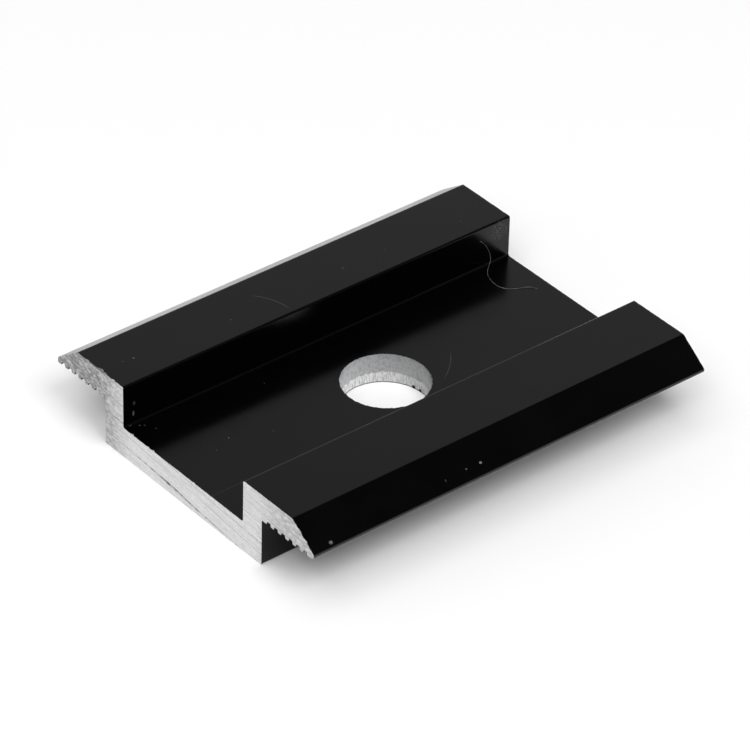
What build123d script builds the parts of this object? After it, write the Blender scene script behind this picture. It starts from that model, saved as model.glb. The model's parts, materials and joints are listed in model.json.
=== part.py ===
from build123d import *
import os

os.makedirs("parts", exist_ok=True)

# Mid clamp for framed solar modules: one aluminium extrusion, sawn to length and
# punched once for the clamp bolt. The section is a shallow channel whose two upright
# walls each carry an outward flange. The channel drops into the gap between two
# modules, the flanges rest on the module frames, and the bolt head sits in the channel.
#
# Frame: millimetres, +Z up, +Y along the extrusion, +X across it.
# Origin: on the axis of the bolt hole, in the plane of the base's underside.

# Lengths along the extrusion.
clamp_length = 50.0
near_end_to_hole = 25.65

# Widths across the extrusion, each measured over both sides.
overall_width = 40.9
top_width = 34.3
base_width = 25.0
channel_width = 19.2

# Heights and thicknesses.
clamp_height = 8.4
base_thickness = 3.5
flange_thickness = 3.0
tip_height = 0.6

# Bolt hole, punched from the channel side.
hole_diameter = 9.5

# Gripping grooves that run the whole length of each flange's underside.
groove_count = 6
groove_pitch = 1.12
groove_mouth = 0.68
groove_depth = 0.36
groove_flank_angle = 75.0
groove_root_round = 0.1
right_groove_band_to_wall = 3.87
left_groove_band_to_wall = 4.27

# Die radii at the corners of the section.
floor_round = 0.3
mouth_round = 0.2
bevel_round = 0.3
nose_round = 0.12
right_nose_underside_round = 0.45
base_round = 0.2
right_flange_root_round = 0.15
left_flange_root_round = 0.7

# Derived half widths and levels.
half_overall = overall_width / 2
half_top = top_width / 2
half_base = base_width / 2
half_channel = channel_width / 2
flange_underside = clamp_height - flange_thickness
tip_top = flange_underside + tip_height
hole_radius = hole_diameter / 2
right_groove_band = half_base + right_groove_band_to_wall
left_groove_band = -half_base - left_groove_band_to_wall

# Plane of the near sawn end. Its normal points away from the clamp.
near_end = Plane.XZ.offset(near_end_to_hole)


with BuildPart() as mid_clamp:
    # Extruded section: right half drawn from the centre line outwards, then mirrored.
    with BuildSketch(near_end) as section:
        with BuildLine() as half_outline:
            Polyline(
                (0, 0),
                (half_base, 0),
                (half_base, flange_underside),
                (half_overall, flange_underside),
                (half_overall, tip_top),
                (half_top, clamp_height),
                (half_channel, clamp_height),
                (half_channel, base_thickness),
                (0, base_thickness),
                close=True,
            )
        make_face()
        mirror(about=Plane.YZ)

        # Re-entrant corners where each flange leaves its wall.
        left_root = section.vertices().group_by(Axis.Y)[-3].sort_by(Axis.X)[1]
        fillet(left_root, radius=left_flange_root_round)
        right_root = section.vertices().group_by(Axis.Y)[-3].sort_by(Axis.X)[-2]
        fillet(right_root, radius=right_flange_root_round)

        # Corners between the channel floor and the walls.
        floor_corners = section.vertices().group_by(Axis.Y)[1]
        fillet(floor_corners, radius=floor_round)

        # Lower corners of the base.
        base_corners = section.vertices().group_by(Axis.Y)[0]
        fillet(base_corners, radius=base_round)

        # Top edges at the channel mouth.
        mouth_corners = section.vertices().group_by(Axis.Y)[-1].sort_by(Axis.X)[1:3]
        fillet(mouth_corners, radius=mouth_round)

        # Top edges where the outer bevels begin.
        bevel_corners = section.vertices().group_by(Axis.Y)[-1].sort_by(Axis.X)[0::3]
        fillet(bevel_corners, radius=bevel_round)

        # Blunt noses at the flange tips. The die is more worn below the right one.
        left_nose = section.vertices().group_by(Axis.X)[0]
        fillet(left_nose, radius=nose_round)
        right_nose_top = section.vertices().group_by(Axis.X)[-1].sort_by(Axis.Y)[-1]
        fillet(right_nose_top, radius=nose_round)
        right_nose_underside = section.vertices().group_by(Axis.X)[-1].sort_by(Axis.Y)[0]
        fillet(right_nose_underside, radius=right_nose_underside_round)
    extrude(amount=-clamp_length)

    # Six grooves under each flange, narrowing upwards to a rounded root.
    with BuildSketch(near_end) as grooves:
        with Locations((right_groove_band, flange_underside), (left_groove_band, flange_underside)):
            with GridLocations(groove_pitch, groove_pitch, groove_count, 1):
                Trapezoid(
                    groove_mouth,
                    groove_depth,
                    groove_flank_angle,
                    align=(Align.CENTER, Align.MIN),
                )
        fillet(grooves.vertices().group_by(Axis.Y)[-1], radius=groove_root_round)
    extrude(amount=-clamp_length, mode=Mode.SUBTRACT)

    # Bolt hole through the base.
    with Locations((0, 0, base_thickness)):
        Hole(radius=hole_radius, depth=base_thickness)

mid_clamp.part.label = "mid_clamp"
export_step(mid_clamp.part, "parts/mid_clamp.step")

print("volume mm3", round(mid_clamp.part.volume, 2))
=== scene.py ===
"""Dress of a mid clamp for framed solar modules.

The clamp is one length of black anodised aluminium extrusion. After anodising it was
sawn at both ends and punched once for its bolt, so the two ends and the hole's wall
are bare metal. Lengths are metres unless a name ends in _mm.
"""

import json
import logging
import math
from dataclasses import dataclass, field
from enum import Enum, IntEnum

import bmesh
import bpy
from mathutils import Matrix, Vector, noise


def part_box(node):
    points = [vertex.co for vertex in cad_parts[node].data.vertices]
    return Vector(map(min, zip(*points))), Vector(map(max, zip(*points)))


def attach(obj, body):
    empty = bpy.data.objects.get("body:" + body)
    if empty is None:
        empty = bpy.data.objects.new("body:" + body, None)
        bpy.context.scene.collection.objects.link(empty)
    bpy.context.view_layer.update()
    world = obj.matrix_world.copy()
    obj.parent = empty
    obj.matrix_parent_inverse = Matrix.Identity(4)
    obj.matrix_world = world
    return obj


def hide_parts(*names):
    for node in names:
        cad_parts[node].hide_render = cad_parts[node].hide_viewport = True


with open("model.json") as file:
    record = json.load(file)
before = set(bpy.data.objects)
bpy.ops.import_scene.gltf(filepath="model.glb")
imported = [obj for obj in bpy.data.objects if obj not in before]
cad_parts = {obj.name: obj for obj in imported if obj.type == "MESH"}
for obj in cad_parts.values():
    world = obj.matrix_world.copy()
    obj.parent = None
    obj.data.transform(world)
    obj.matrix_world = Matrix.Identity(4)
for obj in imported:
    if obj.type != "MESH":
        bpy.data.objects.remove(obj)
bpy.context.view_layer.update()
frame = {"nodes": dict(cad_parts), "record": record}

LOG = logging.getLogger("mid_clamp")
MM = 0.001
NODE = "mid_clamp"
BODY = "root"

# Places nearer to each other than this, in metres, count as one.
TOUCH = 1e-6
# Heights of the channel's floor and of the flanges' tops, in millimetres.
FLOOR = 3.5
TOP = 8.4

Point = tuple[float, float, float]
Span = tuple[float, float]


class Surface(IntEnum):
    """Which finish a face of the clamp wears; the value is its material slot."""

    FILM = 0
    SAWN = 1
    PUNCHED = 2


class End(Enum):
    """The two sawn ends, each with the sign of its outward direction along Y."""

    NEAR = -1
    FAR = 1


def linear(hex_colour: str) -> tuple[float, float, float, float]:
    """Turns an sRGB hex colour into linear light.

    Args:
        hex_colour: Six hex digits, such as "c8c8ca".

    Returns:
        Red, green, blue and an alpha of 1.
    """
    channels = [int(hex_colour[i : i + 2], 16) / 255 for i in (0, 2, 4)]
    light = [c / 12.92 if c <= 0.04045 else ((c + 0.055) / 1.055) ** 2.4 for c in channels]
    return (*light, 1.0)


def wobble(x: float, y: float, z: float) -> float:
    """Returns smooth noise from about -1 to 1, the same on every run."""
    return noise.noise(Vector((x, y, z)))


class Wiring:
    """A node tree that is being wired, with one short way to add a node to it."""

    def __init__(self, owner: bpy.types.Material | bpy.types.World) -> None:
        """Empties the owner's tree, ready for new nodes."""
        owner.use_nodes = True
        self.tree = owner.node_tree
        self.tree.nodes.clear()

    def add(
        self, kind: str, settings: dict[str, object], links: dict[str | int, object]
    ) -> bpy.types.Node:
        """Adds one node.

        Args:
            kind: The node's type without its ShaderNode prefix.
            settings: Attributes to set on the node.
            links: Inputs by name or index, each with a value, an output, or a node whose
                first live output is meant.

        Returns:
            The new node.
        """
        node = self.tree.nodes.new("ShaderNode" + kind)
        for key, value in settings.items():
            setattr(node, key, value)
        for key, value in links.items():
            if isinstance(value, bpy.types.Node):
                value = next(output for output in value.outputs if output.enabled)
            if isinstance(value, bpy.types.NodeSocket):
                self.tree.links.new(value, node.inputs[key])
            else:
                node.inputs[key].default_value = value
        return node


@dataclass(frozen=True)
class Scratch:
    """A pale hairline arc on one level face.

    Attributes:
        centre_mm: Centre of the arc, at the height of the face.
        radius_mm: Radius of the arc.
        middle_degrees: Direction of the arc's middle from its centre.
        half_degrees: Half the angle that the arc covers.
        strength: How pale the line is, from 0 to 1.
    """

    centre_mm: Point
    radius_mm: float
    middle_degrees: float
    half_degrees: float
    strength: float


@dataclass(frozen=True)
class Rub:
    """A spot where the film is scuffed or dusty.

    Attributes:
        centre_mm: Middle of the spot.
        reach_mm: Half the spot's size along X, Y and Z.
        strength: How pale it is, from 0 to 1.
        broken: How much the spot breaks up into crumbs, from 0 to 1.
    """

    centre_mm: Point
    reach_mm: Point
    strength: float
    broken: float = 0.4


@dataclass(frozen=True)
class BlackAnodising:
    """Black dyed anodic film on extruded aluminium.

    Such a film is clear oxide over dyed pores, usually 10 to 20 microns thick. To the eye
    it is a near-black satin with faint lines along the extrusion, and handling leaves
    hairlines, rubs and dust on it.
    """

    dye: str = "020202"
    bruise: str = "747476"
    # Solid oxide is near 1.6. This is set lower, to keep the film's shine down.
    film_ior: float = 1.34
    gloss_low: float = 0.14
    gloss_high: float = 0.2
    # Real die lines, grain and hairlines are some hundredths of a millimetre wide. They
    # are drawn coarser, so that they still show when the whole clamp is in view.
    die_line_mm: float = 0.15
    die_line_stretch: float = 50.0
    grain_mm: float = 0.12
    hairline_mm: float = 0.06
    cloud_mm: float = 8.0
    crumb_mm: float = 0.3
    # A faint pale line along the channel's floor, parallel to the clamp's length.
    floor_line_x_mm: float = 4.55
    floor_line_strength: float = 0.1
    # A line or spot is on a level face when it lies this near to its height.
    level_mm: float = 0.05
    worn_gloss: float = 0.4
    bump: float = 0.06
    bump_mm: float = 0.02
    scratches: tuple[Scratch, ...] = (
        Scratch((-10.3, -10.3, TOP), 6.1, 112.0, 24.0, 0.3),
        Scratch((-6.0, -0.3, FLOOR), 10.6, 42.0, 14.0, 0.22),
    )
    rubs: tuple[Rub, ...] = (
        Rub((-9.6, 22.9, 7.2), (0.3, 1.5, 1.4), 0.34, 1.0),
        Rub((-9.6, -24.4, 4.75), (0.1, 0.14, 0.36), 0.7),
        Rub((-9.6, -24.3, 5.95), (0.1, 0.2, 0.3), 0.25),
        Rub((-9.5, -24.9, FLOOR), (0.12, 0.3, 0.1), 0.35),
        Rub((-9.0, -24.1, FLOOR), (0.14, 0.14, 0.1), 0.3),
        Rub((-8.7, -23.7, FLOOR), (0.14, 0.1, 0.1), 0.3),
        Rub((-7.6, -23.1, FLOOR), (0.16, 0.08, 0.1), 0.3),
        Rub((20.1, -23.3, 6.2), (0.2, 0.26, 0.34), 1.0, 0.6),
        Rub((19.5, -6.0, 6.75), (0.12, 0.12, 0.12), 0.75),
        Rub((19.5, -4.2, 6.7), (0.16, 0.2, 0.16), 1.0, 0.2),
        Rub((19.6, -8.7, 6.6), (0.16, 0.1, 0.2), 0.22),
        Rub((-12.7, 4.6, TOP), (0.08, 0.2, 0.1), 0.5),
        Rub((-12.0, 19.7, TOP), (0.07, 0.14, 0.1), 0.4),
        Rub((-12.7, 10.1, TOP), (0.06, 0.12, 0.1), 0.35),
        Rub((-13.0, -21.8, TOP), (0.2, 0.12, 0.1), 0.5),
        Rub((-13.2, -23.0, TOP), (0.12, 0.08, 0.1), 0.4),
        Rub((-12.4, -10.1, TOP), (0.06, 0.12, 0.1), 0.4),
        Rub((-2.0, -18.4, FLOOR), (0.16, 0.08, 0.1), 0.7),
        Rub((-0.2, -14.2, FLOOR), (0.07, 0.1, 0.1), 0.4),
        Rub((-7.1, -9.9, FLOOR), (0.07, 0.08, 0.1), 0.35),
        Rub((-1.1, -20.6, FLOOR), (0.08, 0.1, 0.1), 0.4),
    )

    def wear(self, wiring: Wiring, place: bpy.types.Node) -> bpy.types.Node:
        """Wires the mask of the scratches, rubs and the faint line along the channel's floor.

        Args:
            wiring: The material that is being wired.
            place: Position on the clamp in millimetres.

        Returns:
            A node whose value is 0 on clean film and 1 on the palest bruise.
        """
        add = wiring.add
        crumbs = add(
            "TexNoise",
            {},
            {"Vector": place, "Scale": 1 / self.crumb_mm, "Detail": 4.0, "Roughness": 0.7},
        )
        crumb_mask = add("MapRange", {}, {"Value": crumbs, "From Min": 0.46, "From Max": 0.6})
        split = add("SeparateXYZ", {}, {"Vector": place}).outputs
        off_floor_line = add("Math", {"operation": "SUBTRACT"}, {0: split["X"], 1: self.floor_line_x_mm})
        off_floor_line = add("Math", {"operation": "ABSOLUTE"}, {0: off_floor_line})
        floor_line = add(
            "MapRange",
            {},
            {
                "Value": off_floor_line,
                "From Max": self.hairline_mm,
                "To Min": self.floor_line_strength,
                "To Max": 0.0,
            },
        )
        on_floor = add("Math", {"operation": "COMPARE"}, {0: split["Z"], 1: FLOOR, 2: self.level_mm})
        total = add("Math", {"operation": "MULTIPLY"}, {0: floor_line, 1: on_floor})
        for scratch in self.scratches:
            offset = add("VectorMath", {"operation": "SUBTRACT"}, {0: place, 1: scratch.centre_mm})
            parts = add("SeparateXYZ", {}, {"Vector": offset}).outputs
            reach = add("VectorMath", {"operation": "LENGTH"}, {0: offset})
            across = add("Math", {"operation": "SUBTRACT"}, {0: reach, 1: scratch.radius_mm})
            across = add("Math", {"operation": "ABSOLUTE"}, {0: across})
            line = add(
                "MapRange",
                {},
                {
                    "Value": across,
                    "From Max": self.hairline_mm,
                    "To Min": scratch.strength,
                    "To Max": 0.0,
                },
            )
            angle = add("Math", {"operation": "ARCTAN2"}, {0: parts["Y"], 1: parts["X"]})
            middle = math.radians(scratch.middle_degrees)
            away = add("Math", {"operation": "SUBTRACT"}, {0: angle, 1: middle})
            away = add("Math", {"operation": "ABSOLUTE"}, {0: away})
            half = math.radians(scratch.half_degrees)
            span = add(
                "MapRange",
                {},
                {"Value": away, "From Min": half * 0.6, "From Max": half, "To Min": 1.0, "To Max": 0.0},
            )
            level = add("Math", {"operation": "COMPARE"}, {0: parts["Z"], 1: 0.0, 2: self.level_mm})
            drawn = add("Math", {"operation": "MULTIPLY"}, {0: line, 1: span})
            drawn = add("Math", {"operation": "MULTIPLY"}, {0: drawn, 1: level})
            total = add("Math", {"operation": "MAXIMUM"}, {0: total, 1: drawn})
        for rub in self.rubs:
            offset = add("VectorMath", {"operation": "SUBTRACT"}, {0: place, 1: rub.centre_mm})
            offset = add("VectorMath", {"operation": "DIVIDE"}, {0: offset, 1: rub.reach_mm})
            reach = add("VectorMath", {"operation": "LENGTH"}, {0: offset})
            spot = add(
                "MapRange",
                {},
                {"Value": reach, "From Min": 0.5, "To Min": rub.strength, "To Max": 0.0},
            )
            crumbled = add(
                "MapRange", {}, {"Value": crumb_mask, "To Min": 1.0 - rub.broken, "To Max": 1.0}
            )
            spot = add("Math", {"operation": "MULTIPLY"}, {0: spot, 1: crumbled})
            total = add("Math", {"operation": "MAXIMUM"}, {0: total, 1: spot})
        return total

    def material(self) -> bpy.types.Material:
        """Returns the film as a material."""
        film = bpy.data.materials.new("black_anodised_film")
        wiring = Wiring(film)
        add = wiring.add
        coords = add("TexCoord", {}, {})
        place = add("VectorMath", {"operation": "SCALE"}, {0: coords.outputs["Object"], "Scale": 1 / MM})
        along = (1.0, 1 / self.die_line_stretch, 1.0)
        drawn_out = add("Mapping", {}, {"Vector": place, "Scale": along})
        die_lines = add(
            "TexNoise",
            {},
            {"Vector": drawn_out, "Scale": 1 / self.die_line_mm, "Detail": 3.0, "Roughness": 0.6},
        )
        clouds = add(
            "TexNoise",
            {},
            {"Vector": place, "Scale": 1 / self.cloud_mm, "Detail": 4.0, "Roughness": 0.55},
        )
        grain = add(
            "TexNoise",
            {},
            {"Vector": place, "Scale": 1 / self.grain_mm, "Detail": 2.0, "Roughness": 0.5},
        )
        wear = self.wear(wiring, place)
        colour = add(
            "Mix",
            {"data_type": "RGBA"},
            {"Factor": wear, "A": linear(self.dye), "B": linear(self.bruise)},
        )
        gloss = add(
            "MapRange",
            {},
            {
                "Value": clouds,
                "From Min": 0.3,
                "From Max": 0.7,
                "To Min": self.gloss_low,
                "To Max": self.gloss_high,
            },
        )
        gloss = add("Math", {"operation": "MULTIPLY_ADD"}, {0: die_lines, 1: 0.05, 2: gloss})
        gloss = add("Math", {"operation": "MULTIPLY_ADD"}, {0: wear, 1: self.worn_gloss, 2: gloss})
        relief = add("Math", {"operation": "MULTIPLY"}, {0: grain, 1: 0.3})
        relief = add("Math", {"operation": "MULTIPLY_ADD"}, {0: die_lines, 1: 0.7, 2: relief})
        bump = add(
            "Bump", {}, {"Height": relief, "Strength": self.bump, "Distance": self.bump_mm * MM}
        )
        shader = add(
            "BsdfPrincipled",
            {},
            {"Base Color": colour, "Roughness": gloss, "IOR": self.film_ior, "Normal": bump},
        )
        add("OutputMaterial", {}, {"Surface": shader})
        return film


@dataclass(frozen=True)
class SawnAluminium:
    """Bare aluminium as a circular saw leaves it.

    The teeth cross the section along its width. To the eye the metal is a bright, matt white grey with
    long thin strokes a little off level and torn, mottled patches. Its colour is darker towards the left
    of the section and a little darker at the right flange's tip.
    """

    bright: str = "e9e9e9"
    torn: str = "888888"
    stroke: str = "68686a"
    # Real tooth marks and grit are finer than these, which are drawn to show at a distance.
    fine_mm: float = 0.16
    grit_mm: float = 0.15
    patch_mm: float = 0.4
    patch_squeeze: float = 0.6
    # Long strokes: their spacing, width, lean, and how far and how fast they stray.
    stroke_mm: float = 1.5
    stroke_width_mm: float = 0.045
    stroke_stretch: float = 20.0
    slant_degrees: float = -4.4
    stray_mm: float = 4.2
    stray_length_mm: float = 2.5
    # The colour is darker towards the left of the section, and a little darker at the right flange's tip.
    darker_x_mm: Span = (-15.0, -8.0)
    darker_amount: Span = (0.9, 0.2)
    darker_tip_x_mm: Span = (11.0, 16.0)
    darker_tip_amount: float = 0.3
    rough_low: float = 0.4
    rough_high: float = 0.55
    bump: float = 0.3
    bump_mm: float = 0.1

    def material(self) -> bpy.types.Material:
        """Returns the sawn metal as a material."""
        sawn = bpy.data.materials.new("sawn_aluminium")
        add = Wiring(sawn).add
        coords = add("TexCoord", {}, {})
        place = add("VectorMath", {"operation": "SCALE"}, {0: coords.outputs["Object"], "Scale": 1 / MM})
        turned = add(
            "Mapping", {}, {"Vector": place, "Rotation": (0.0, math.radians(self.slant_degrees), 0.0)}
        )
        across = (1 / self.stroke_stretch, 1.0, 1.0)
        long_ways = add("Mapping", {}, {"Vector": turned, "Scale": across})
        fine = add(
            "TexNoise",
            {},
            {"Vector": long_ways, "Scale": 1 / self.fine_mm, "Detail": 4.0, "Roughness": 0.6},
        )
        stray = add(
            "TexNoise",
            {},
            {
                "Vector": long_ways,
                "Scale": 1 / self.stray_length_mm,
                "Detail": 2.0,
                "Roughness": 0.5,
            },
        )
        smeared = add("Mapping", {}, {"Vector": turned, "Scale": (self.patch_squeeze, 1.0, 1.0)})
        patches = add(
            "TexNoise",
            {},
            {"Vector": smeared, "Scale": 1 / self.patch_mm, "Detail": 5.0, "Roughness": 0.65},
        )
        grit = add(
            "TexNoise",
            {},
            {"Vector": place, "Scale": 1 / self.grit_mm, "Detail": 4.0, "Roughness": 0.7},
        )
        split = add("SeparateXYZ", {}, {"Vector": place}).outputs
        # Darker towards the left of the section, and a little at the right flange's tip.
        darkening = add(
            "MapRange",
            {"interpolation_type": "SMOOTHSTEP"},
            {
                "Value": split["X"],
                "From Min": self.darker_x_mm[0],
                "From Max": self.darker_x_mm[1],
                "To Min": self.darker_amount[0],
                "To Max": self.darker_amount[1],
            },
        )
        tip = add(
            "MapRange",
            {"interpolation_type": "SMOOTHSTEP"},
            {
                "Value": split["X"],
                "From Min": self.darker_tip_x_mm[0],
                "From Max": self.darker_tip_x_mm[1],
                "To Max": self.darker_tip_amount,
            },
        )
        darkening = add("Math", {"operation": "ADD"}, {0: darkening, 1: tip})
        tears = add(
            "MapRange",
            {},
            {"Value": patches, "From Min": 0.38, "From Max": 0.62, "To Min": 0.5, "To Max": 1.35},
        )
        tears = add("Math", {"operation": "MULTIPLY"}, {0: tears, 1: darkening})
        colour = add(
            "Mix",
            {"data_type": "RGBA"},
            {"Factor": tears, "A": linear(self.bright), "B": linear(self.torn)},
        )
        level = add("SeparateXYZ", {}, {"Vector": turned}).outputs["Z"]
        level = add("Math", {"operation": "MULTIPLY_ADD"}, {0: stray, 1: self.stray_mm, 2: level})
        off_line = add("Math", {"operation": "PINGPONG"}, {0: level, 1: self.stroke_mm / 2})
        line = add(
            "MapRange",
            {},
            {
                "Value": off_line,
                "From Min": self.stroke_width_mm * 0.5,
                "From Max": self.stroke_width_mm * 1.5,
                "To Min": 1.0,
                "To Max": 0.0,
            },
        )
        faded = add(
            "MapRange",
            {},
            {"Value": patches, "From Min": 0.42, "From Max": 0.58, "To Min": 1.0, "To Max": 0.15},
        )
        line = add("Math", {"operation": "MULTIPLY"}, {0: line, 1: faded})
        colour = add(
            "Mix",
            {"data_type": "RGBA"},
            {"Factor": line, "A": colour, "B": linear(self.stroke)},
        )
        shade = add(
            "MapRange",
            {},
            {"Value": fine, "From Min": 0.35, "From Max": 0.6, "To Min": 0.9, "To Max": 1.03},
        )
        colour = add("VectorMath", {"operation": "SCALE"}, {0: colour, "Scale": shade})
        sparkle = add(
            "MapRange",
            {},
            {"Value": grit, "From Min": 0.35, "From Max": 0.65, "To Min": 0.8, "To Max": 1.1},
        )
        colour = add("VectorMath", {"operation": "SCALE"}, {0: colour, "Scale": sparkle})
        rough = add(
            "MapRange",
            {},
            {
                "Value": grit,
                "From Min": 0.35,
                "From Max": 0.65,
                "To Min": self.rough_low,
                "To Max": self.rough_high,
            },
        )
        height = add("Math", {"operation": "MULTIPLY"}, {0: grit, 1: 0.3})
        height = add("Math", {"operation": "MULTIPLY_ADD"}, {0: fine, 1: 0.4, 2: height})
        height = add("Math", {"operation": "MULTIPLY_ADD"}, {0: line, 1: -0.6, 2: height})
        bump = add(
            "Bump", {}, {"Height": height, "Strength": self.bump, "Distance": self.bump_mm * MM}
        )
        shader = add(
            "BsdfPrincipled",
            {},
            {"Base Color": colour, "Metallic": 1.0, "Roughness": rough, "Normal": bump},
        )
        add("OutputMaterial", {}, {"Surface": shader})
        return sawn


@dataclass(frozen=True)
class PunchedAluminium:
    """Bare aluminium that a punch sheared.

    To the eye the upper part of the wall is a mid grey that the punch ironed smooth, and
    below it lies a paler, sparkling band with upright tears where the slug broke away.
    The mesh carries the depth of the break in its torn_band attribute.
    """

    ironed: str = "b4b5b6"
    broken: str = "f4f4f4"
    # Colour of the pits, which also darkens the band at the wall's foot, partly painted shade.
    pit_edge_and_shade: str = "0a0a0a"
    # Real tears are finer than these, which are drawn to show at a distance.
    tear_mm: float = 0.13
    tear_stretch: float = 5.0
    mottle_mm: float = 0.35
    # Height of the dark band at the wall's lower edge: partly the film's broken edge at the underside,
    # partly painted shade where the wall meets the table.
    foot_edge_and_shade_mm: float = 0.13
    attribute: str = "torn_band"
    pits_mm: tuple[Point, ...] = ((-1.0, 4.56, 0.16), (-0.1, 4.67, 0.12))
    pit_reach_mm: float = 0.25
    # Painted shade: the wall's colour darkens towards the part that faces -X and -Y, where less light
    # falls.
    painted_shade_side: Point = (0.63, 0.77, 0.0)
    painted_shade_reach_mm: float = 4.5
    painted_shade_tone: Span = (1.04, 0.55)
    rough_ironed: float = 0.36
    rough_broken: float = 0.6
    bump: float = 0.4
    bump_mm: float = 0.1

    def material(self) -> bpy.types.Material:
        """Returns the punched wall as a material."""
        punched = bpy.data.materials.new("punched_aluminium")
        add = Wiring(punched).add
        coords = add("TexCoord", {}, {})
        place = add("VectorMath", {"operation": "SCALE"}, {0: coords.outputs["Object"], "Scale": 1 / MM})
        drawn_up = (1.0, 1.0, 1 / self.tear_stretch)
        upright = add("Mapping", {}, {"Vector": place, "Scale": drawn_up})
        tears = add(
            "TexNoise",
            {},
            {"Vector": upright, "Scale": 1 / self.tear_mm, "Detail": 4.0, "Roughness": 0.65},
        )
        mottle = add(
            "TexNoise",
            {},
            {"Vector": place, "Scale": 1 / self.mottle_mm, "Detail": 5.0, "Roughness": 0.65},
        )
        band = add("Attribute", {"attribute_name": self.attribute}, {})
        edge = add("Math", {"operation": "MULTIPLY_ADD"}, {0: mottle, 1: 0.5, 2: band.outputs["Fac"]})
        edge = add("Math", {"operation": "MULTIPLY_ADD"}, {0: tears, 1: 0.4, 2: edge})
        torn = add("MapRange", {}, {"Value": edge, "From Min": 0.9, "From Max": 1.0})
        smooth_tone = add(
            "MapRange",
            {},
            {"Value": mottle, "From Min": 0.34, "From Max": 0.52, "To Min": 0.72, "To Max": 1.04},
        )
        torn_tone = add(
            "MapRange",
            {},
            {"Value": tears, "From Min": 0.38, "From Max": 0.58, "To Min": 0.66, "To Max": 1.08},
        )
        tone = add("Mix", {}, {"Factor": torn, "A": smooth_tone, "B": torn_tone})
        # Painted shade: darker on the part of the wall that faces -X and -Y.
        side = add("VectorMath", {"operation": "DOT_PRODUCT"}, {0: place, 1: self.painted_shade_side})
        painted_shade = add(
            "MapRange",
            {},
            {
                "Value": side.outputs["Value"],
                "From Min": -self.painted_shade_reach_mm,
                "From Max": self.painted_shade_reach_mm,
                "To Min": self.painted_shade_tone[0],
                "To Max": self.painted_shade_tone[1],
            },
        )
        tone = add("Math", {"operation": "MULTIPLY"}, {0: tone, 1: painted_shade})
        colour = add(
            "Mix",
            {"data_type": "RGBA"},
            {"Factor": torn, "A": linear(self.ironed), "B": linear(self.broken)},
        )
        colour = add("VectorMath", {"operation": "SCALE"}, {0: colour, "Scale": tone})
        height = add("SeparateXYZ", {}, {"Vector": place}).outputs["Z"]
        # Partly painted shade: the wall's foot is darkened where it meets the table.
        foot_edge_and_shade = add(
            "MapRange",
            {},
            {
                "Value": height,
                "From Min": self.foot_edge_and_shade_mm * 0.6,
                "From Max": self.foot_edge_and_shade_mm,
                "To Min": 0.8,
                "To Max": 0.0,
            },
        )
        colour = add("Mix", {"data_type": "RGBA"}, {"Factor": foot_edge_and_shade, "A": colour, "B": linear(self.pit_edge_and_shade)})
        for centre in self.pits_mm:
            reach = add("VectorMath", {"operation": "DISTANCE"}, {0: place, 1: centre})
            spot = add(
                "MapRange",
                {},
                {
                    "Value": reach,
                    "From Min": self.pit_reach_mm * 0.7,
                    "From Max": self.pit_reach_mm,
                    "To Min": 1.0,
                    "To Max": 0.0,
                },
            )
            colour = add(
                "Mix", {"data_type": "RGBA"}, {"Factor": spot, "A": colour, "B": linear(self.pit_edge_and_shade)}
            )
        rough = add("Mix", {}, {"Factor": torn, "A": self.rough_ironed, "B": self.rough_broken})
        relief = add("Math", {"operation": "MULTIPLY"}, {0: tears, 1: torn})
        relief = add("Math", {"operation": "MULTIPLY_ADD"}, {0: mottle, 1: 0.25, 2: relief})
        bump = add(
            "Bump", {}, {"Height": relief, "Strength": self.bump, "Distance": self.bump_mm * MM}
        )
        shader = add(
            "BsdfPrincipled",
            {},
            {"Base Color": colour, "Metallic": 1.0, "Roughness": rough, "Normal": bump},
        )
        add("OutputMaterial", {}, {"Surface": shader})
        return punched


@dataclass(frozen=True)
class LintFibre:
    """A cotton fibre, which looks soft, matt and grey white."""

    colour: str = "7e7e7c"
    slub_mm: float = 0.6

    def material(self) -> bpy.types.Material:
        """Returns the fibre as a material."""
        lint = bpy.data.materials.new("cotton_lint")
        add = Wiring(lint).add
        coords = add("TexCoord", {}, {})
        slubs = add(
            "TexNoise",
            {},
            {"Vector": coords.outputs["Object"], "Scale": 1 / (self.slub_mm * MM), "Detail": 2.0},
        )
        tone = add(
            "MapRange",
            {},
            {"Value": slubs, "From Min": 0.35, "From Max": 0.65, "To Min": 0.45, "To Max": 1.1},
        )
        colour = add("VectorMath", {"operation": "SCALE"}, {0: linear(self.colour)[:3], "Scale": tone})
        shader = add("BsdfPrincipled", {}, {"Base Color": colour, "Roughness": 0.8, "IOR": 1.45})
        add("OutputMaterial", {}, {"Surface": shader})
        return lint


@dataclass(frozen=True)
class Chip:
    """A crumb that the saw tore out of one edge at the near end.

    Attributes:
        x_mm: Its middle across the clamp.
        z_mm: Height of the edge it sits on.
        half_mm: Half its length along the edge.
        bite_mm: How far it reaches along the clamp.
    """

    x_mm: float
    z_mm: float
    half_mm: float
    bite_mm: float


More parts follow.
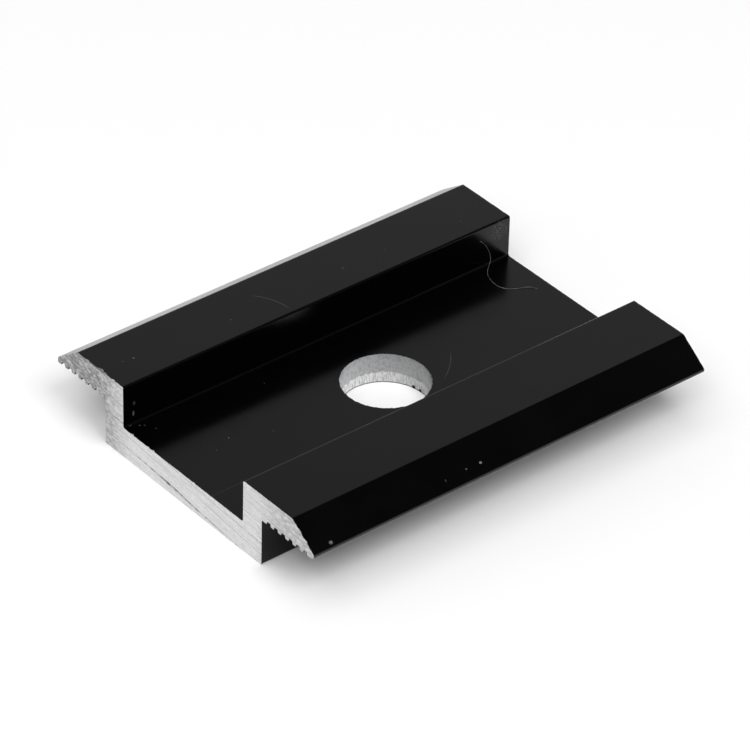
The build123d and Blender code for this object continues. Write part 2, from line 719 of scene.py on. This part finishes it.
@dataclass
class ClampBody:
    """The one-piece clamp: filmed skin, two sawn ends and one punched hole."""

    film: BlackAnodising = field(default_factory=BlackAnodising)
    sawn: SawnAluminium = field(default_factory=SawnAluminium)
    punched: PunchedAluminium = field(default_factory=PunchedAluminium)

    # Sawn ends.
    rim_step_mm: float = 0.16
    rim_width_mm: float = 0.1
    ragged_mm: float = 0.05
    ragged_grain_mm: float = 0.45
    # Skin that faces up less than this keeps a clean edge, so the grooves stay crisp.
    least_upward: float = 0.1
    most_halvings: int = 10
    chip_height_mm: float = 0.35
    chips: tuple[Chip, ...] = (
        Chip(-13.35, TOP, 0.45, 0.36),
        Chip(-12.6, TOP, 0.25, 0.22),
        Chip(-15.4, TOP, 0.3, 0.16),
        Chip(-11.2, TOP, 0.25, 0.14),
        Chip(-8.1, FLOOR, 0.22, 0.2),
        Chip(-4.7, FLOOR, 0.18, 0.18),
        Chip(-5.6, FLOOR, 0.15, 0.12),
        Chip(1.8, FLOOR, 0.2, 0.1),
        Chip(18.3, 7.55, 0.3, 0.12),
        Chip(19.2, 6.9, 0.25, 0.14),
    )

    # Punched hole.
    ring_count: int = 14
    columns_per_facet: int = 4
    break_height_mm: float = 1.25
    break_wander_mm: float = 0.22
    break_depth_mm: float = 0.05
    break_blend_mm: float = 0.25
    rim_nibble_mm: float = 0.1
    # How far the dressed wall stands outside the CAD's bore. Below zero it stands inside.
    bore_ease_mm: float = -0.08
    # How quickly the noise changes round the wall, per bore radius.
    broad_waves: float = 2.5
    fine_waves: float = 14.0
    nibble_waves: float = 20.0

    sharp_degrees: float = 40.0

    def merged_copy(self) -> bmesh.types.BMesh:
        """Returns a copy of the CAD node's mesh, merged into its flat faces."""
        shell = bmesh.new()
        shell.from_mesh(frame["nodes"][NODE].data)
        bmesh.ops.remove_doubles(shell, verts=shell.verts[:], dist=0.001 * MM)
        bmesh.ops.dissolve_limit(
            shell, angle_limit=math.radians(0.5), verts=shell.verts[:], edges=shell.edges[:]
        )
        return shell

    def sort_faces(self, shell: bmesh.types.BMesh, ends: dict[End, float], bore: float) -> None:
        """Gives every face its finish by where it lies.

        Args:
            shell: The clamp.
            ends: Each end with its place along Y.
            bore: Radius of the bolt hole.
        """
        shell.normal_update()
        for face in shell.faces:
            centre = face.calc_center_median()
            face.material_index = Surface.FILM
            if any(abs(centre.y - place) < TOUCH for place in ends.values()):
                face.material_index = Surface.SAWN
            elif centre.xy.length < bore * 1.01 and abs(face.normal.z) < 0.5:
                face.material_index = Surface.PUNCHED

    def saw_rims(self, shell: bmesh.types.BMesh, ends: dict[End, float]) -> None:
        """Steps the outline of each sawn face and tears it back in places.

        A narrow ring is inset along the outline. Where the film is pulled back, the ring
        tilts and shows bare metal, as a torn edge does.

        Args:
            shell: The clamp.
            ends: Each end with its place along Y.
        """
        for end, place in ends.items():
            for _ in range(self.most_halvings):
                long_edges = [
                    edge
                    for edge in shell.edges
                    if edge.calc_length() > self.rim_step_mm * MM
                    and all(abs(vert.co.y - place) < TOUCH for vert in edge.verts)
                ]
                if not long_edges:
                    break
                bmesh.ops.subdivide_edges(shell, edges=long_edges, cuts=1)
            faces = [face for face in shell.faces if face.material_index == Surface.SAWN]
            faces = [face for face in faces if abs(face.calc_center_median().y - place) < TOUCH]
            bmesh.ops.inset_region(
                shell, faces=faces, thickness=self.rim_width_mm * MM, use_even_offset=True
            )
            for vert in shell.verts:
                finishes = {face.material_index for face in vert.link_faces}
                if finishes == {Surface.FILM, Surface.SAWN} and abs(vert.co.y - place) < TOUCH:
                    skin = [face for face in vert.link_faces if face.material_index == Surface.FILM]
                    if min(face.normal.z for face in skin) > self.least_upward:
                        vert.co.y -= end.value * self.bite(vert.co / MM, end) * MM

    def bite(self, place: Vector, end: End) -> float:
        """Returns how far the film is torn back at a point of a sawn rim, in mm."""
        grain = place / self.ragged_grain_mm
        depth = max(0.0, wobble(grain.x, end.value * 7.0, grain.z)) * self.ragged_mm
        if end is End.NEAR:
            for chip in self.chips:
                along = abs(place.x - chip.x_mm) / chip.half_mm
                if along < 1.0 and abs(place.z - chip.z_mm) < self.chip_height_mm:
                    crumb = 0.7 + 0.9 * wobble(grain.x * 3.0, 3.0, grain.z * 3.0)
                    depth = max(depth, chip.bite_mm * math.sqrt(1.0 - along * along) * crumb)
        return depth

    def shear_hole(self, shell: bmesh.types.BMesh, thickness: float) -> None:
        """Gives the hole's wall its ironed band, its torn band and a nibbled rim.

        Args:
            shell: The clamp.
            thickness: Height of the hole's wall.
        """
        wall = [face for face in shell.faces if face.material_index == Surface.PUNCHED]
        edges = {edge for face in wall for edge in face.edges}
        rims = [edge for edge in edges if abs(edge.verts[0].co.z - edge.verts[1].co.z) < TOUCH]
        bmesh.ops.subdivide_edges(
            shell, edges=rims, cuts=self.columns_per_facet - 1, use_grid_fill=True
        )
        wall = [face for face in shell.faces if face.material_index == Surface.PUNCHED]
        edges = {edge for face in wall for edge in face.edges}
        uprights = [edge for edge in edges if abs(edge.verts[0].co.z - edge.verts[1].co.z) > TOUCH]
        bmesh.ops.subdivide_edges(shell, edges=uprights, cuts=self.ring_count, use_grid_fill=True)
        band = shell.verts.layers.float.new(self.punched.attribute)
        wall = [face for face in shell.faces if face.material_index == Surface.PUNCHED]
        for vert in {vert for face in wall for vert in face.verts}:
            height = vert.co.z / MM
            turn = math.atan2(vert.co.y, vert.co.x)
            around = Vector((math.cos(turn), math.sin(turn), 0.0))
            broad = wobble(around.x * self.broad_waves, around.y * self.broad_waves, 0.0)
            fine = wobble(around.x * self.fine_waves, around.y * self.fine_waves, height * 0.4)
            top = self.break_height_mm + self.break_wander_mm * (broad + 0.6 * fine)
            below = min(1.0, max(0.0, (top - height) / self.break_blend_mm + 0.5))
            vert[band] = below
            out = self.bore_ease_mm + below * self.break_depth_mm * (0.5 + fine)
            if height > (thickness - TOUCH) / MM:
                nibble = around * self.nibble_waves
                out += self.rim_nibble_mm * wobble(nibble.x, nibble.y, 9.0)
            vert.co += around * out * MM

    def build(self) -> bpy.types.Object:
        """Builds the clamp, puts it in the CAD node's place and returns it."""
        low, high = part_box(NODE)
        ends = {End.NEAR: low.y, End.FAR: high.y}
        bore = next(mount for mount in frame["record"]["mounts"] if mount["kind"] == "bore")
        shell = self.merged_copy()
        self.sort_faces(shell, ends, bore["dims"]["r_mm"] * MM)
        self.saw_rims(shell, ends)
        self.shear_hole(shell, bore["dims"]["length_mm"] * MM)
        for edge in shell.edges:
            finishes = {face.material_index for face in edge.link_faces}
            edge.smooth = len(finishes) == 1 and edge.calc_face_angle(0.0) < math.radians(
                self.sharp_degrees
            )
        for face in shell.faces:
            face.smooth = True
        bmesh.ops.triangulate(shell, faces=[face for face in shell.faces if len(face.verts) > 4])
        mesh = bpy.data.meshes.new("clamp_body")
        shell.to_mesh(mesh)
        shell.free()
        for finish in (self.film, self.sawn, self.punched):
            mesh.materials.append(finish.material())
        body = bpy.data.objects.new("clamp_body", mesh)
        bpy.context.scene.collection.objects.link(body)
        weighted = body.modifiers.new("even_normals", "WEIGHTED_NORMAL")
        weighted.keep_sharp = True
        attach(body, BODY)
        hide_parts(NODE)
        return body


@dataclass
class LintStrand:
    """A stray fibre that clings to the left wall and trails over the channel floor."""

    radius_mm: float = 0.02
    path_mm: tuple[Point, ...] = (
        (-9.55, 20.3, 6.95),
        (-9.53, 20.95, 6.4),
        (-9.53, 21.6, 5.2),
        (-9.45, 21.85, 4.1),
        (-9.1, 21.2, 3.6),
        (-8.3, 20.3, 3.53),
        (-6.7, 19.75, 3.53),
        (-5.5, 19.8, 3.53),
        (-4.5, 20.6, 3.55),
        (-4.0, 21.9, 3.58),
        (-3.6, 22.5, 3.56),
        (-3.0, 22.7, 3.53),
    )
    finish: LintFibre = field(default_factory=LintFibre)

    def build(self) -> bpy.types.Object:
        """Builds the fibre as a thin tube along its path and returns it."""
        curve = bpy.data.curves.new("lint_path", "CURVE")
        curve.dimensions = "3D"
        curve.bevel_depth = self.radius_mm * MM
        curve.bevel_resolution = 2
        curve.use_fill_caps = True
        curve.resolution_u = 8
        strand = curve.splines.new("NURBS")
        strand.points.add(len(self.path_mm) - 1)
        for point, place in zip(strand.points, self.path_mm):
            point.co = (*(value * MM for value in place), 1.0)
        strand.order_u = 3
        strand.use_endpoint_u = True
        carrier = bpy.data.objects.new("lint_path", curve)
        bpy.context.scene.collection.objects.link(carrier)
        bpy.context.view_layer.update()
        mesh = bpy.data.meshes.new_from_object(
            carrier.evaluated_get(bpy.context.evaluated_depsgraph_get())
        )
        bpy.data.objects.remove(carrier)
        mesh.materials.clear()
        mesh.materials.append(self.finish.material())
        fibre = bpy.data.objects.new("lint_fibre", mesh)
        bpy.context.scene.collection.objects.link(fibre)
        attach(fibre, BODY)
        return fibre


@dataclass(frozen=True)
class Lamp:
    """A square softbox that looks at the clamp.

    Attributes:
        name: Name of the lamp.
        place: Where it hangs.
        size: Its side.
        level: How bright it alone makes a white sheet that faces it at the clamp.
    """

    name: str
    place: Point
    size: float
    level: float

    def build(self) -> None:
        """Hangs the lamp."""
        data = bpy.data.lights.new(self.name, "AREA")
        data.shape = "SQUARE"
        data.size = self.size
        away = Vector(self.place)
        data.energy = self.level * math.pi**2 * away.length_squared
        lamp = bpy.data.objects.new(self.name, data)
        lamp.location = self.place
        lamp.rotation_mode = "QUATERNION"
        lamp.rotation_quaternion = away.to_track_quat("Z", "Y")
        bpy.context.scene.collection.objects.link(lamp)


@dataclass
class Studio:
    """White table, soft lamps, dim ceiling and the camera."""

    table_half: float = 6.0
    # The table lies this far below the clamp, so that the two never share a plane.
    table_drop_mm: float = 0.01
    table_colour: str = "ffffff"
    table_glow: float = 0.06
    right_level: float = 0.25
    ceiling_level: float = 0.03
    ceiling_rise: float = 0.78
    # The room dims to right_level between these two directions across.
    dimming_x: Span = (-0.2, 0.5)
    # Camera angles in degrees, and its distance and shifts in metres.
    azimuth: float = 49.881
    elevation: float = 35.557
    roll: float = 1.54
    distance: float = 0.483769
    slide_right: float = -0.001016
    slide_up: float = 0.003435
    lens_mm: float = 230.6
    lamps: tuple[Lamp, ...] = (
        Lamp("overhead_softbox", (-0.05, -0.2, 1.1), 1.2, 0.48),
        Lamp("right_softbox", (0.68, -0.05, 0.94), 0.5, 0.35),
        Lamp("front_right_softbox", (0.5, -0.65, 0.9), 0.6, 0.3),
    )

    def table(self) -> None:
        """Lays the white table that the clamp lies on."""
        sheet = bmesh.new()
        bmesh.ops.create_grid(sheet, x_segments=1, y_segments=1, size=self.table_half)
        bmesh.ops.translate(sheet, verts=sheet.verts[:], vec=(0.0, 0.0, -self.table_drop_mm * MM))
        mesh = bpy.data.meshes.new("table_top")
        sheet.to_mesh(mesh)
        sheet.free()
        paper = bpy.data.materials.new("white_paper")
        add = Wiring(paper).add
        rays = add("LightPath", {}, {}).outputs
        seen = add("Math", {"operation": "MAXIMUM"}, {0: rays["Is Camera Ray"], 1: rays["Is Glossy Ray"]})
        seen = add("Math", {"operation": "MAXIMUM"}, {0: seen, 1: rays["Is Transmission Ray"]})
        share = add("Math", {"operation": "MULTIPLY"}, {0: seen, 1: self.table_glow})
        matt = add("BsdfDiffuse", {}, {"Color": linear(self.table_colour)})
        glow = add("Emission", {}, {"Color": linear("ffffff"), "Strength": 1.0})
        mixed = add("MixShader", {}, {0: share, 1: matt, 2: glow})
        add("OutputMaterial", {}, {"Surface": mixed})
        mesh.materials.append(paper)
        table = bpy.data.objects.new("table_top", mesh)
        bpy.context.scene.collection.objects.link(table)

    def walls(self) -> None:
        """Sets the room: white at the horizon, and dim overhead and to the right."""
        room = bpy.data.worlds.new("studio")
        bpy.context.scene.world = room
        add = Wiring(room).add
        coords = add("TexCoord", {}, {})
        split = add("SeparateXYZ", {}, {"Vector": coords.outputs["Generated"]}).outputs
        rise = add("Math", {"operation": "MAXIMUM"}, {0: split["Z"], 1: 0.0})
        rise = add("Math", {"operation": "POWER"}, {0: rise, 1: 2.0})
        level = add(
            "MapRange",
            {},
            {
                "Value": rise,
                "From Max": self.ceiling_rise**2,
                "To Min": 1.0,
                "To Max": self.ceiling_level,
            },
        )
        side = add(
            "MapRange",
            {},
            {
                "Value": split["X"],
                "From Min": self.dimming_x[0],
                "From Max": self.dimming_x[1],
                "To Min": 1.0,
                "To Max": self.right_level,
            },
        )
        level = add("Math", {"operation": "MULTIPLY"}, {0: level, 1: side})
        glow = add("Background", {}, {"Color": linear("ffffff"), "Strength": level})
        add("OutputWorld", {}, {"Surface": glow})

    def camera(self) -> None:
        """Places the camera and makes it the scene's own."""
        data = bpy.data.cameras.new("camera")
        data.lens = self.lens_mm
        data.sensor_width = 36.0
        data.clip_start, data.clip_end = 0.01, 50.0
        turn, rise, roll = (math.radians(v) for v in (self.azimuth, self.elevation, self.roll))
        back = Vector(
            (math.sin(turn) * math.cos(rise), -math.cos(turn) * math.cos(rise), math.sin(rise))
        )
        level_right = Vector((math.cos(turn), math.sin(turn), 0.0))
        level_up = back.cross(level_right)
        right = level_right * math.cos(roll) + level_up * math.sin(roll)
        up = level_up * math.cos(roll) - level_right * math.sin(roll)
        place = back * self.distance + right * self.slide_right + up * self.slide_up
        axes = Matrix((right, up, back)).transposed()
        camera = bpy.data.objects.new("camera", data)
        camera.matrix_world = Matrix.Translation(place) @ axes.to_4x4()
        bpy.context.scene.collection.objects.link(camera)
        bpy.context.scene.camera = camera

    def build(self) -> None:
        """Builds the table, the room, the lamps and the camera."""
        self.table()
        self.walls()
        for lamp in self.lamps:
            lamp.build()
        self.camera()
        bpy.context.scene.view_settings.view_transform = "Standard"


def main() -> None:
    """Builds the clamp, its lint and the studio, and reports each piece."""
    logging.basicConfig(level=logging.INFO)
    for maker in (ClampBody(), LintStrand()):
        piece = maker.build()
        LOG.info("%s: %d faces", piece.name, len(piece.data.polygons))
    Studio().build()
    bpy.context.view_layer.update()


if __name__ == "__main__":
    main()
